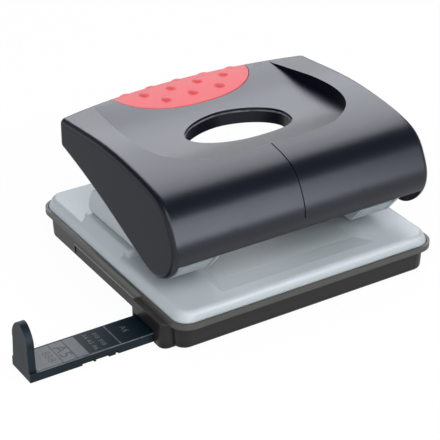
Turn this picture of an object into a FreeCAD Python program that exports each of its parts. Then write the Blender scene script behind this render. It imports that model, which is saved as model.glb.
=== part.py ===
import FreeCAD, Part
import math
import os

os.makedirs("parts", exist_ok=True)
V = FreeCAD.Vector
X = V(1, 0, 0)
Y = V(0, 1, 0)
Z = V(0, 0, 1)

# Millimetres. The origin is on the desk, under the middle of the tray, midway between the holes.
# Z is up, the paper goes in from -Y and the guide slides out towards -X.

# Standard sizes: hole spacing, paper edge to hole axis, and where the guide stops an A5 sheet
hole_spacing = 80.0
hole_margin = 12.0
hole_diameter = 5.5
guide_reach = 105.2

# Chip tray
base_centre_x = 0.6
tray_inset_x = 0.3
tray_inset_y = 1.8
tray_draft = 0.6
tray_corner = 5.5
tray_wall = 1.6
tray_floor = 1.6
tray_foot_radius = 1.5
rim_bottom = 10.15
ledge_top = 11.2
rim_top = 12.4
rim_wall = 1.1
recess_depth = 0.7
recess_height = 5.2
recess_rear_y = 28.4

# Base plate
plate_border = 4.64
plate_half_y = 52.6
plate_corner = 6.0
plate_taper_x = 1.7
plate_taper_y = 0.6
plate_skirt_height = 1.4
plate_top = 16.3
plate_sheet = 1.2
plate_edge_radius = 2.0
plate_rim_gap = 0.3
trough_half_top = 34.0
trough_half_bottom = 30.0
trough_depth = 1.4
trough_margin = 6.6
trough_front_slope = 9.0
throat_stop_y = -8.1
paper_gap = 3.1
seat_margin = 2.3
seat_corner = 2.0
seat_edge_radius = 1.2
seat_apron_angle = 50.0
seat_apron_sink = 0.5
die_clearance = 0.12

# Brackets
bracket_width = 17.72
bracket_sheet = 1.5
bracket_bend = 1.6
web_front_y = -32.6
web_rear_y = 24.4
cheek_rear_y = 26.0
cheek_rear_height = 11.2
cheek_rear_top_y = 22.0
cheek_slope_y = -6.0
cheek_slope_height = 15.0
lip_run = 6.7
lip_rise = 7.2
lip_relief = 0.6
ear_radius = 6.0
collar_radius = 4.4
collar_height = 3.5
rivet_radius = 2.0
rivet_head_radius = 3.4
rivet_head_height = 1.3
rivet_tail_height = 1.0
rivet_front_y = 3.0
rivet_rear_y = 18.0
rivet_clearance = 0.03

# Punch pins and their springs
pin_length = 21.3
pin_recess = 0.3
pin_guide_clearance = 0.05
pin_mouth_radius = 4.0
pin_mouth_depth = 0.9
pin_chamfer = 0.4
spring_height = 13.1
spring_wire = 0.9
spring_inner_radius = 4.8
spring_turns = 5
spring_seat_gap = 0.05
washer_thickness = 0.6
washer_radius = 6.0
clip_thickness = 0.8
clip_radius = 4.6
clip_groove_depth = 0.5
clip_groove_play = 0.05
clip_mouth = 3.0

# Handle pivot and levers
pivot_y = -38.5
pivot_z = 34.5
pivot_radius = 2.0
pivot_running_clearance = 0.05
pivot_press_clearance = 0.02
pivot_head_radius = 3.2
pivot_head_height = 1.0
pivot_tail = 1.6
pivot_clip_radius = 3.4
pivot_clip_thickness = 0.7
lever_sheet = 1.5
lever_side_gap = 1.0
lever_eye_radius = 5.0
lever_web_top = 48.0
lever_web_front_y = -36.5
lever_web_rear_y = -12.0
dimple_radius = 5.0
dimple_length = 8.0
dimple_gap = 0.4
screw_y = -31.0
screw_offset = 4.4
screw_radius = 1.5
screw_head_radius = 2.7
screw_head_height = 1.6
screw_length = 8.0
screw_clearance = 0.1
boss_radius = 3.2
press_boss_radius = 4.0

# Handle shell
shell_centre_x = 0.2
shell_end_gap = 0.74
shell_wall = 2.4
shell_edge_fillet = 2.2
shell_rear_mid_y = 43.5
shell_rear_radius = 187.0
shell_corner = 2.8
front_wall_bottom = 33.2
window_y = -1.7
window_half_x = 21.8
window_half_y = 13.5
window_power = 1.8
window_front_right_power = 2.9
window_collar_wall = 1.8
window_collar_bottom = 48.6
seam_x = -0.6
seam_width = 0.5
seam_depth = 0.35
seam_end = 5.0

# Side profile of the shell, (y, z) from the rear top over the nose to the rear bottom
shell_profile = [
    (46.0, 56.3), (38.0, 57.0), (30.8, 57.6), (15.0, 59.2), (0.0, 60.15), (-14.0, 59.8), (-26.0, 58.7),
    (-34.5, 57.2), (-39.7, 55.3), (-43.5, 52.3), (-46.6, 47.5), (-48.8, 42.2), (-49.1, 37.4), (-47.6, 32.6),
    (-44.4, 28.3), (-40.2, 25.1), (-35.5, 23.4), (-31.2, 23.4), (-24.1, 25.6), (-9.7, 31.3), (3.2, 36.2),
    (20.2, 41.6), (36.8, 45.8), (46.0, 47.6),
]

# Side profile of the sunk top's floor, (y, z)
floor_profile = [
    (-30.0, 59.3), (-20.0, 57.2), (-12.0, 55.9), (-2.4, 55.2), (5.0, 55.0), (11.0, 55.0), (16.0, 55.15),
    (21.0, 55.55), (29.0, 56.5), (36.0, 57.15), (46.0, 57.6),
]
floor_thickness = 2.2

# Outline of the sunk top seen from above, (x, y) of its right half from the rear to the front
sunk_outline = [
    (39.0, 48.0), (39.8, 36.0), (40.9, 30.0), (42.7, 18.5), (43.7, 11.5), (44.2, 3.0), (44.0, -5.0),
    (43.2, -9.5), (41.8, -13.5), (39.4, -17.2), (34.0, -21.7), (28.0, -24.7), (20.0, -26.1), (0.0, -26.6),
]

# Grip pad
grip_y = 42.8
grip_half_x = 30.5
grip_half_y = 21.8
grip_power = 2.3
grip_depth = 1.4
grip_bottom = 50.0
nub_pitch = 12.0
nub_radius = 2.7
nub_height = 0.6
nub_front_y = 29.0
nub_middle_y = 35.8

# Paper guide
guide_margin = 18.2
guide_width = 14.0
guide_height = 3.6
guide_lift = 0.2
guide_length = 103.0
guide_side_gap = 0.25
guide_top_gap = 0.3
guide_groove_bottom = 1.1
guide_groove_height = 1.4
guide_groove_depth = 0.95
rail_gap = 0.2
guide_travel_in = 44.8
stop_thickness = 2.8
stop_height = 20.9
stop_width = 13.0
stop_taper = 0.9
stop_shoulder = 8.5
label_start = 0.6
label_length = 20.2
label_width = 12.6
label_thickness = 0.25
notch_depth = 0.8
notch_height = 1.3
notch_spans = [(17.6, 22.2), (23.0, 28.2), (30.9, 32.0)]
housing_reach = 4.0
housing_rear_run = 8.2
housing_front_run = 13.4
housing_corner = 3.0
mouth_height = 5.0
mouth_length = 2.0


# Places that follow from the sizes above
punch_x = hole_spacing / 2
punch_y = throat_stop_y - hole_margin
punch_radius = hole_diameter / 2
web_bottom = plate_top + paper_gap
web_top = web_bottom + bracket_sheet
pin_bottom = web_bottom + pin_recess
pin_top = pin_bottom + pin_length
spring_top = web_top + spring_height
clip_bottom = spring_top + washer_thickness
lever_inner_half = bracket_width / 2 + lever_side_gap
lever_outer_half = lever_inner_half + lever_sheet
lever_web_bottom = lever_web_top - lever_sheet
shell_half_x = punch_x + lever_outer_half + pivot_head_height + shell_end_gap + shell_wall
shell_top = max(z for y, z in shell_profile)
cut_low = lever_web_top - 8
cut_high = shell_top + 15
seat_half = bracket_width / 2 + seat_margin
plate_half_x = punch_x + seat_half + plate_border
tray_half_x = plate_half_x - tray_inset_x
tray_half_y = plate_half_y - tray_inset_y
trough_front_y = trough_margin - plate_half_y
wall_x = base_centre_x - tray_half_x
housing_x = wall_x - housing_reach
guide_y = guide_margin - tray_half_y
housing_rear_y = guide_y + housing_rear_run
housing_front_y = guide_y - housing_front_run
guide_top = guide_lift + guide_height
channel_roof = guide_top + guide_top_gap
channel_half = guide_width / 2 + guide_side_gap
channel_end = guide_length - guide_reach - stop_thickness + guide_travel_in + 2.0
rear_rail_x = housing_x + mouth_length
front_rail_x = rear_rail_x + guide_travel_in


def box(x0, x1, y0, y1, z0, z1):
    return Part.makeBox(x1 - x0, y1 - y0, z1 - z0, V(x0, y0, z0))


def cylinder(radius, start, axis, length):
    return Part.makeCylinder(radius, length, start, axis)


def rounded_outline(half_x, half_y, corner, z):
    # A rectangle with round corners, drawn at height z
    def at(sx, sy, dx, dy):
        return V(base_centre_x + sx * (half_x - corner + dx), sy * (half_y - corner + dy), z)

    mid = corner * math.sqrt(0.5)
    edges = []
    for sx, sy, turn in [(1, 1, 0), (-1, 1, 1), (-1, -1, 0), (1, -1, 1)]:
        ends = [at(sx, sy, corner, 0), at(sx, sy, 0, corner)]
        if turn:
            ends.reverse()
        edges.append(Part.Arc(ends[0], at(sx, sy, mid, mid), ends[1]).toShape())
    wires = []
    for i, arc in enumerate(edges):
        wires.append(arc)
        after = edges[(i + 1) % 4]
        wires.append(Part.makeLine(arc.Vertexes[1].Point, after.Vertexes[0].Point))
    return Part.Wire(wires)


def slab(half_x, half_y, corner, z0, z1):
    return Part.Face(rounded_outline(half_x, half_y, corner, z0)).extrude(V(0, 0, z1 - z0))


def side_prism(points, x0, x1):
    # A polygon of (y, z) points carried along X
    wire = Part.makePolygon([V(x0, y, z) for y, z in points] + [V(x0, *points[0])])
    return Part.Face(wire).extrude(V(x1 - x0, 0, 0))


def flat_edges(shape, z):
    return [e for e in shape.Edges if abs(e.BoundBox.ZMin - z) < 1e-4 and abs(e.BoundBox.ZMax - z) < 1e-4]


def upright_edges(shape, x, y):
    # The vertical edges that stand at (x, y)
    found = []
    for e in shape.Edges:
        b = e.BoundBox
        if b.ZLength > 0.5 and abs(b.XMin - x) < 1e-3 and abs(b.XMax - x) < 1e-3 and abs(b.YMin - y) < 1e-3:
            found.append(e)
    return found


def superellipse(half_x, half_y, power, x, y, count=48, front_right_power=None):
    points = []
    for i in range(count):
        t = 2 * math.pi * i / count
        c, s = math.cos(t), math.sin(t)
        local_power = power
        if front_right_power and c > 0 and s < 0:
            local_power = front_right_power
        px = half_x * math.copysign(abs(c) ** (2 / local_power), c)
        py = half_y * math.copysign(abs(s) ** (2 / local_power), s)
        points.append(V(x + px, y + py, 0))
    curve = Part.BSplineCurve()
    curve.interpolate(Points=points, PeriodicFlag=True)
    return Part.Face(Part.Wire(curve.toShape()))


def between(face, z0, z1):
    lifted = face.copy()
    lifted.translate(V(0, 0, z0))
    return lifted.extrude(V(0, 0, z1 - z0))


def mirrored(shape):
    return shape.mirror(V(0, 0, 0), X)


def save(name, shape):
    solid = shape.removeSplitter()
    if len(solid.Solids) == 1:
        solid = solid.Solids[0]
    if not solid.isValid():
        print(name, "is not valid")
    solid.exportStep("parts/" + name + ".step")
    print(name, "solids", len(solid.Solids), "volume", round(solid.Volume, 1))


def save_pair(name, right):
    save("right_" + name, right)
    save("left_" + name, mirrored(right))


# Chip tray: a drafted wall, a rim that takes the plate's skirt, and the guide's housing and channel
wall_outer = Part.makeLoft([
    rounded_outline(tray_half_x - tray_draft, tray_half_y - tray_draft, tray_corner - tray_draft, 0),
    rounded_outline(tray_half_x, tray_half_y, tray_corner, rim_bottom),
], True, True)
wall_outer = wall_outer.makeFillet(tray_foot_radius, flat_edges(wall_outer, 0))
rim_inner_x = plate_half_x + plate_rim_gap
rim_inner_y = plate_half_y + plate_rim_gap
rim_inner_corner = plate_corner + plate_rim_gap
rim = slab(rim_inner_x + rim_wall, rim_inner_y + rim_wall, rim_inner_corner + rim_wall, rim_bottom, rim_top)
rim = rim.cut(slab(rim_inner_x, rim_inner_y, rim_inner_corner, ledge_top, rim_top + 1))
inner_x = tray_half_x - tray_wall
inner_y = tray_half_y - tray_wall
inside = slab(inner_x - tray_draft, inner_y - tray_draft, tray_corner - tray_wall, tray_floor, rim_top + 1)
housing = box(housing_x, wall_x + tray_wall, housing_front_y, housing_rear_y, 0, rim_bottom)
housing = housing.makeFillet(housing_corner, upright_edges(housing, housing_x, housing_front_y))
hump = box(wall_x + tray_wall, channel_end + tray_wall, guide_y - channel_half - tray_wall,
           guide_y + channel_half + tray_wall, 0, channel_roof + tray_wall)
channel = box(housing_x - 1, channel_end, guide_y - channel_half, guide_y + channel_half, -1, channel_roof)
mouth = box(housing_x - 1, housing_x + mouth_length, guide_y - channel_half, guide_y + channel_half,
            -1, mouth_height)
rail_z0 = guide_lift + guide_groove_bottom + rail_gap
rail_z1 = rail_z0 + guide_groove_height - 2 * rail_gap
rail_reach = guide_width / 2 - guide_groove_depth + rail_gap
wall_recess = box(wall_x - 1, wall_x + recess_depth, housing_rear_y, recess_rear_y,
                  -1, recess_height)
tray = wall_outer.fuse(rim).cut(inside).cut(wall_recess).fuse(housing).fuse(hump).cut(channel).cut(mouth)
for side, rail_x in [(-1, front_rail_x), (1, rear_rail_x)]:
    far = guide_y + side * (channel_half + 0.5)
    near = guide_y + side * rail_reach
    rail = box(rail_x, channel_end + 0.5, min(far, near), max(far, near), rail_z0, rail_z1)
    tray = tray.fuse(rail)
save("chip_tray", tray)


# Base plate: a sheet with a skirt, a trough that runs out at the rear, and a seat under each bracket
def plate_form(inset, bottom):
    # The plate's outer form, or with an inset the space under its sheet
    half_x, half_y, corner = plate_half_x - inset, plate_half_y - inset, plate_corner - inset
    skirt_z = ledge_top + plate_skirt_height
    skirt = slab(half_x, half_y, corner, bottom, skirt_z)
    top = Part.makeLoft([
        rounded_outline(half_x, half_y, corner, skirt_z),
        rounded_outline(half_x - plate_taper_x, half_y - plate_taper_y, corner, plate_top - inset),
    ], True, True)
    form = skirt.fuse(top).removeSplitter()
    return form.makeFillet(plate_edge_radius - inset / 2, flat_edges(form, plate_top - inset))


plate = plate_form(0, ledge_top)
under = plate_form(plate_sheet, ledge_top - 1)
body = plate.copy()
plate = plate.cut(under)


def trough_form(drop, rear_y):
    # The trough's space, lowered by drop: drop 0 is the top face of the sheet
    top = plate_top - drop
    floor = top - trough_depth
    wires = []
    for half, front, z in [(trough_half_bottom, trough_front_y + trough_front_slope, floor),
                           (trough_half_top, trough_front_y, top),
                           (trough_half_top, trough_front_y, top + 2)]:
        corners = [V(-half, front, z), V(half, front, z), V(half, rear_y, z), V(-half, rear_y, z)]
        wires.append(Part.makePolygon(corners + [corners[0]]))
    lower = Part.makeLoft(wires[:2], True, True)
    return lower.fuse(Part.makeLoft(wires[1:], True, True))


sunk = trough_form(plate_sheet, plate_half_y - plate_sheet / 2).common(body)
plate = plate.fuse(sunk).cut(trough_form(0, plate_half_y + 5))
seat_rear_y = cheek_rear_y + seat_margin - bracket_sheet
seat_bottom = plate_top - trough_depth - plate_sheet
seat = box(punch_x - seat_half, punch_x + seat_half, throat_stop_y, seat_rear_y, seat_bottom, web_bottom)
for cx in (punch_x - seat_half, punch_x + seat_half):
    for cy in (throat_stop_y, seat_rear_y):
        seat = seat.makeFillet(seat_corner, upright_edges(seat, cx, cy))
seat = seat.makeFillet(seat_edge_radius, flat_edges(seat, web_bottom))
hollow = box(punch_x - seat_half + plate_sheet, punch_x + seat_half - plate_sheet,
             throat_stop_y + plate_sheet, seat_rear_y - plate_sheet, seat_bottom - 1, web_bottom - plate_sheet)


def apron_form(inset):
    # The slope from the seat's outer edge down to the plate's, or with an inset the space under its sheet
    lean = math.radians(seat_apron_angle)
    inner_x = punch_x + seat_half - seat_edge_radius
    crest_x = inner_x + seat_edge_radius * math.sin(lean)
    crest_z = web_bottom - seat_edge_radius * (1 - math.cos(lean))
    foot_z = plate_top - seat_apron_sink
    foot_x = crest_x + (crest_z - foot_z) / math.tan(lean)
    y0, y1 = throat_stop_y + seat_corner + inset, seat_rear_y - seat_corner - inset
    points = [(inner_x, foot_z), (foot_x, foot_z), (crest_x, crest_z), (inner_x, crest_z)]
    wire = Part.makePolygon([V(x, y0, z) for x, z in points + points[:1]])
    form = Part.Face(wire).extrude(V(0, y1 - y0, 0))
    form.translate(V(0, 0, -inset / math.cos(lean)))
    return form


die = cylinder(punch_radius + die_clearance, V(punch_x, punch_y, ledge_top), Z, 10)
rivet_ys = [rivet_front_y, rivet_rear_y]
for flip in (False, True):
    tools = [seat.fuse(apron_form(0)), hollow, apron_form(plate_sheet), die]
    for y in rivet_ys:
        tools.append(cylinder(rivet_radius + rivet_clearance, V(punch_x, y, ledge_top), Z, 15))
    if flip:
        tools = [mirrored(t) for t in tools]
    plate = plate.fuse(tools[0])
    for tool in tools[1:]:
        plate = plate.cut(tool)
save("base_plate", plate)


# Brackets: a U section cut to the cheek's outline, with the upturned lip and the pin's collar
bracket_x0 = punch_x - bracket_width / 2
bracket_x1 = punch_x + bracket_width / 2
bracket_top = pivot_z + ear_radius
section = box(bracket_x0, bracket_x1, pivot_y - 10, cheek_rear_y + 5, web_bottom, bracket_top + 5)
bends = [e for e in flat_edges(section, web_bottom) if e.BoundBox.YLength > 20]
section = section.makeFillet(bracket_bend, bends)
trench = box(bracket_x0 + bracket_sheet, bracket_x1 - bracket_sheet, pivot_y - 11, cheek_rear_y + 6,
             web_top, bracket_top + 6)
section = section.cut(trench)
lip_top_y = web_front_y - lip_run
lip_top_z = web_bottom + lip_rise
cheek_rear_z = web_bottom + cheek_rear_height
toe_y = pivot_y - ear_radius * 0.7
toe_z = pivot_z - ear_radius * 0.7
rise = (web_front_y - 1.4, web_bottom + 0.9)
lower_rear = Part.Arc(V(0, web_rear_y, web_bottom), V(0, cheek_rear_y - 0.3, web_bottom + 1.5),
                      V(0, cheek_rear_y, web_bottom + 3.6)).toShape()
upper_rear = Part.Arc(V(0, cheek_rear_y, web_bottom + 3.6), V(0, cheek_rear_y - 1.4, web_bottom + 7.5),
                      V(0, cheek_rear_top_y, cheek_rear_z)).toShape()
corners = [
    (cheek_rear_top_y, cheek_rear_z), (cheek_rear_top_y - 3.5, cheek_rear_z + 0.9),
    (cheek_slope_y, web_bottom + cheek_slope_height), (pivot_y + 11, bracket_top),
    (pivot_y, bracket_top), (toe_y, toe_z), (lip_top_y, lip_top_z), rise, (web_front_y, web_bottom),
    (web_rear_y, web_bottom),
]
outline = [lower_rear, upper_rear]
for a, b in zip(corners, corners[1:]):
    outline.append(Part.makeLine(V(0, *a), V(0, *b)))
cheek = Part.Face(Part.Wire(outline))
cheek.translate(V(bracket_x0 - 1, 0, 0))
cheek = cheek.extrude(V(bracket_width + 2, 0, 0))
cheek = cheek.fuse(cylinder(ear_radius, V(bracket_x0 - 1, pivot_y, pivot_z), X, bracket_width + 2))
bracket = section.common(cheek)
lip_length = math.hypot(lip_run, lip_rise)
lip_ny = lip_rise / lip_length * bracket_sheet
lip_nz = lip_run / lip_length * bracket_sheet
lip = side_prism([
    (web_front_y + 0.5, web_bottom), (web_front_y, web_bottom), rise, (lip_top_y, lip_top_z),
    (lip_top_y + lip_ny, lip_top_z + lip_nz), (rise[0] + lip_ny, rise[1] + lip_nz),
    (web_front_y + 0.5, web_top),
], bracket_x0 + bracket_sheet + lip_relief, bracket_x1 - bracket_sheet - lip_relief)
collar = cylinder(collar_radius, V(punch_x, punch_y, web_top), Z, collar_height)
bracket = bracket.fuse(lip).fuse(collar)
bore = cylinder(punch_radius + pin_guide_clearance, V(punch_x, punch_y, web_bottom - 1), Z, 20)
bracket = bracket.cut(bore)
ear_hole = cylinder(pivot_radius + pivot_running_clearance, V(bracket_x0 - 1, pivot_y, pivot_z), X,
                    bracket_width + 2)
bracket = bracket.cut(ear_hole)
for y in rivet_ys:
    hole = cylinder(rivet_radius + rivet_clearance, V(punch_x, y, web_bottom - 1), Z, 10)
    bracket = bracket.cut(hole)
save_pair("bracket", bracket)


# Rivets, two to a bracket, with a round head above the web and a formed tail under the seat
rivets = []
for y in rivet_ys:
    tail_z = web_bottom - plate_sheet
    shank = cylinder(rivet_radius, V(punch_x, y, tail_z - 0.1), Z, web_top - tail_z + 0.2)
    head = Part.makeCone(rivet_head_radius, rivet_radius, rivet_head_height, V(punch_x, y, web_top), Z)
    tail = Part.makeCone(rivet_radius, rivet_head_radius, rivet_tail_height,
                         V(punch_x, y, tail_z - rivet_tail_height), Z)
    rivets.append(shank.fuse(head).fuse(tail).removeSplitter().Solids[0])
save_pair("bracket_rivets", Part.makeCompound(rivets))


# Punch pin: a ground mouth below and a groove for its clip
groove_radius = punch_radius - clip_groove_depth
pin = cylinder(punch_radius, V(punch_x, punch_y, pin_bottom), Z, pin_length)
pin = pin.makeChamfer(pin_chamfer, flat_edges(pin, pin_top))
ring = cylinder(punch_radius + 1, V(punch_x, punch_y, clip_bottom - clip_groove_play), Z,
                clip_thickness + 2 * clip_groove_play)
pin = pin.cut(ring.cut(cylinder(groove_radius, V(punch_x, punch_y, clip_bottom - 1), Z, 4)))
mouth_z = pin_bottom + pin_mouth_depth - pin_mouth_radius
pin = pin.cut(cylinder(pin_mouth_radius, V(punch_x - 10, punch_y, mouth_z), X, 20))
save_pair("punch_pin", pin)

washer = cylinder(washer_radius, V(punch_x, punch_y, spring_top), Z, washer_thickness)
washer = washer.cut(cylinder(punch_radius + pin_guide_clearance, V(punch_x, punch_y, spring_top - 1), Z, 4))
save_pair("spring_washer", washer)

clip = cylinder(clip_radius, V(punch_x, punch_y, clip_bottom), Z, clip_thickness)
clip = clip.cut(cylinder(groove_radius + 0.02, V(punch_x, punch_y, clip_bottom - 1), Z, 4))
clip = clip.cut(box(punch_x - clip_mouth / 2, punch_x + clip_mouth / 2, punch_y, punch_y + clip_radius + 1,
                    clip_bottom - 1, clip_bottom + 2))
save_pair("retaining_clip", clip)


# Return spring: one tube along a helix, made of two arcs to each quarter turn
spring_radius = spring_inner_radius + spring_wire / 2
spring_z0 = web_top + spring_seat_gap + spring_wire / 2
spring_z1 = spring_top - spring_seat_gap - spring_wire / 2
spring_lead = (spring_z1 - spring_z0) / spring_turns


def helix_point(t):
    height = spring_z0 + spring_lead * t / (2 * math.pi)
    return V(spring_radius * math.cos(t), spring_radius * math.sin(t), height)


def helix_heading(t):
    return V(-spring_radius * math.sin(t), spring_radius * math.cos(t), spring_lead / (2 * math.pi)).normalize()


def arc_from(start, control, end):
    # The arc that leaves start towards control and reaches end along the line from control
    w = (end - start).Length / 2 / (control - start).Length
    middle = (start + control * (2 * w) + end) * (1 / (2 + 2 * w))
    return Part.Arc(start, middle, end).toShape()


def biarc(p0, t0, p1, t1):
    chord = p1 - p0
    both = t0 + t1
    a = 2 * (1 - t0.dot(t1))
    b = chord.dot(both)
    d = (-b + math.sqrt(b * b + a * chord.dot(chord))) / a
    c0 = p0 + t0 * d
    c1 = p1 - t1 * d
    joint = (c0 + c1) * 0.5
    return [arc_from(p0, c0, joint), arc_from(joint, c1, p1)]


steps = 4 * spring_turns
arcs = []
for i in range(steps):
    t_a = math.pi / 2 * i
    t_b = t_a + math.pi / 2
    arcs += biarc(helix_point(t_a), helix_heading(t_a), helix_point(t_b), helix_heading(t_b))
path = Part.Wire(arcs)
disc = Part.Wire(Part.makeCircle(spring_wire / 2, helix_point(0), helix_heading(0)))
spring = path.makePipeShell([disc], True, False)
slope = math.atan2(spring_lead, 2 * math.pi * spring_radius)
print("spring least gap to itself", round(spring_lead * math.cos(slope) - spring_wire, 2), "mm")
spring.translate(V(punch_x, punch_y, 0))
save_pair("return_spring", spring)


# Pivot pins with a head at the outer end and a clip at the inner end
pivot_x0 = punch_x - lever_outer_half - pivot_tail
pivot_x1 = punch_x + lever_outer_half
clip_x = punch_x - lever_outer_half - pivot_clip_thickness - 0.1
pivot = cylinder(pivot_radius, V(pivot_x0, pivot_y, pivot_z), X, pivot_x1 - pivot_x0)
pivot = pivot.fuse(cylinder(pivot_head_radius, V(pivot_x1, pivot_y, pivot_z), X, pivot_head_height))
ring = cylinder(pivot_radius + 1, V(clip_x - clip_groove_play, pivot_y, pivot_z), X,
                pivot_clip_thickness + 2 * clip_groove_play)
pivot_groove = pivot_radius - clip_groove_depth
pivot = pivot.cut(ring.cut(cylinder(pivot_groove, V(clip_x - 1, pivot_y, pivot_z), X, 4)))
save_pair("pivot_pin", pivot)

pivot_clip = cylinder(pivot_clip_radius, V(clip_x, pivot_y, pivot_z), X, pivot_clip_thickness)
pivot_clip = pivot_clip.cut(cylinder(pivot_groove + 0.02, V(clip_x - 1, pivot_y, pivot_z), X, 4))
clip_gap = pivot_groove - 0.1
pivot_clip = pivot_clip.cut(box(clip_x - 1, clip_x + 2, pivot_y - clip_gap, pivot_y + clip_gap,
                                pivot_z, pivot_z + pivot_clip_radius + 1))
save_pair("pivot_clip", pivot_clip)


# Levers: two arms with eyes, a web under the shell and a dimple over the pin
lever_x0 = punch_x - lever_outer_half
lever_x1 = punch_x + lever_outer_half
arm = side_prism([
    (pivot_y - 4.0, pivot_z + 3.0), (lever_web_front_y, lever_web_top), (lever_web_rear_y, lever_web_top),
    (lever_web_rear_y, lever_web_bottom - 1.5), (pivot_y + 4.0, pivot_z - 3.0), (pivot_y, pivot_z),
], lever_x0, lever_x1)
arm = arm.fuse(cylinder(lever_eye_radius, V(lever_x0, pivot_y, pivot_z), X, 2 * lever_outer_half))
gap = box(punch_x - lever_inner_half, punch_x + lever_inner_half, pivot_y - 20, 20, 0, lever_web_bottom)
front_gap = box(punch_x - lever_inner_half, punch_x + lever_inner_half, pivot_y - 20, lever_web_front_y, 0, 60)
lever = arm.cut(gap).cut(front_gap)
dimple_z = pin_top + dimple_gap + dimple_radius
dimple = cylinder(dimple_radius, V(punch_x - dimple_length / 2, punch_y, dimple_z), X, dimple_length)
dimple = dimple.common(box(0, 100, -100, 100, 0, lever_web_top))
lever = lever.fuse(dimple)
lever = lever.cut(cylinder(pivot_radius + pivot_press_clearance, V(lever_x0 - 1, pivot_y, pivot_z), X,
                           2 * lever_outer_half + 2))
screw_xs = [punch_x - screw_offset, punch_x + screw_offset]
for x in screw_xs:
    lever = lever.cut(cylinder(screw_radius + screw_clearance, V(x, screw_y, lever_web_bottom - 1), Z, 5))
save_pair("lever", lever)


# Handle shell: the profile carried across, cut to the rear outline, then sunk, hollowed and pierced
profile_curve = Part.BSplineCurve()
profile_curve.interpolate([V(0, y, z) for y, z in shell_profile])
rear_line = Part.makeLine(V(0, *shell_profile[-1]), V(0, *shell_profile[0]))
profile_face = Part.Face(Part.Wire([profile_curve.toShape(), rear_line]))
profile_face.translate(V(shell_centre_x - shell_half_x, 0, 0))
outer = profile_face.extrude(V(2 * shell_half_x, 0, 0))


def plan_form(inset):
    # The outline seen from above: straight ends and a bowed rear with round corners
    half = shell_half_x - inset
    radius = shell_rear_radius - inset
    centre_y = shell_rear_mid_y - shell_rear_radius
    arc_y = centre_y + math.sqrt(radius ** 2 - half ** 2)
    x0, x1 = shell_centre_x - half, shell_centre_x + half
    rear = Part.Arc(V(x0, arc_y, 0), V(shell_centre_x, centre_y + radius, 0), V(x1, arc_y, 0)).toShape()
    lines = [V(x1, arc_y, 0), V(x1, -70, 0), V(x0, -70, 0), V(x0, arc_y, 0)]
    edges = [rear] + [Part.makeLine(a, b) for a, b in zip(lines, lines[1:])]
    form = Part.Face(Part.Wire(edges)).extrude(V(0, 0, 100))
    corner = shell_corner - inset * 0.8
    return form.makeFillet(corner, upright_edges(form, x0, arc_y) + upright_edges(form, x1, arc_y))


outer = outer.common(plan_form(0))
rim_edges = []
for edge in outer.Edges:
    b = edge.BoundBox
    at_end = abs(abs(b.XMin - shell_centre_x) - shell_half_x) < 1e-3 and b.XLength < 1e-3
    if (at_end and b.YLength > 20) or (b.ZMin > 54.0 and b.YMin > 25.0 and b.XLength > 1.0):
        rim_edges.append(edge)
outer = outer.makeFillet(shell_edge_fillet, rim_edges)


def sunk_face(grow):
    # The sunk top's outline, moved out by grow
    right = []
    for i, (x, y) in enumerate(sunk_outline):
        before = sunk_outline[max(i - 1, 0)]
        after = sunk_outline[i + 1] if i + 1 < len(sunk_outline) else (-before[0], before[1])
        dx, dy = after[0] - before[0], after[1] - before[1]
        length = math.hypot(dx, dy)
        right.append((x - grow * dy / length, y + grow * dx / length))
    right[-1] = (0, right[-1][1])
    points = [V(x, y, 0) for x, y in right] + [V(-x, y, 0) for x, y in reversed(right[:-1])]
    curve = Part.BSplineCurve()
    curve.interpolate(points)
    return Part.Face(Part.Wire([curve.toShape(), Part.makeLine(points[-1], points[0])]))


def above_floor(drop):
    # Everything above the sunk floor, lowered by drop
    half = shell_half_x + shell_wall
    curve = Part.BSplineCurve()
    curve.interpolate([V(-half, y, z - drop) for y, z in floor_profile])
    return curve.toShape().extrude(V(2 * half, 0, 0)).extrude(V(0, 0, cut_high - cut_low))


sink = between(sunk_face(0), cut_low, cut_high).common(above_floor(0))
outer = outer.cut(sink)

# The grip pad's recess is the pad's own form: the skin of the shell inside the pad's outline
grip_plan = between(superellipse(grip_half_x, grip_half_y, grip_power, 0, grip_y), grip_bottom, cut_high)
core = outer.copy()
core.translate(V(0, -grip_depth, -grip_depth))
pad = outer.common(grip_plan).cut(core)


def profile_inset(inset, x0, x1):
    # The space inside the profile moved inwards by inset, open below, from x0 to x1
    points = []
    first, last = profile_curve.FirstParameter, profile_curve.LastParameter
    for i in range(60):
        u = first + (last - first) * i / 80
        p = profile_curve.value(u)
        tangent = profile_curve.tangent(u)[0]
        q = V(x0, p.y - tangent.z * inset, p.z + tangent.y * inset)
        if q.z < front_wall_bottom:
            break
        points.append(q)
    curve = Part.BSplineCurve()
    curve.interpolate(points[::3])
    top_end, nose_end = points[0], points[::3][-1]
    open_side = [nose_end, V(x0, nose_end.y, front_wall_bottom), V(x0, -70, front_wall_bottom), V(x0, -70, 0),
                 V(x0, top_end.y, 0), top_end]
    edges = [curve.toShape()] + [Part.makeLine(a, b) for a, b in zip(open_side, open_side[1:])]
    return Part.Face(Part.Wire(edges)).extrude(V(x1 - x0, 0, 0))


# The hollow inside, which leaves the wall, the sunk floor and the end walls
half_inside = shell_half_x - shell_wall
cavity = profile_inset(shell_wall, shell_centre_x - half_inside, shell_centre_x + half_inside)
cavity = cavity.common(plan_form(shell_wall))
kept = between(sunk_face(floor_thickness), cut_low, cut_high).common(above_floor(floor_thickness))
cavity = cavity.cut(kept)

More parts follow.
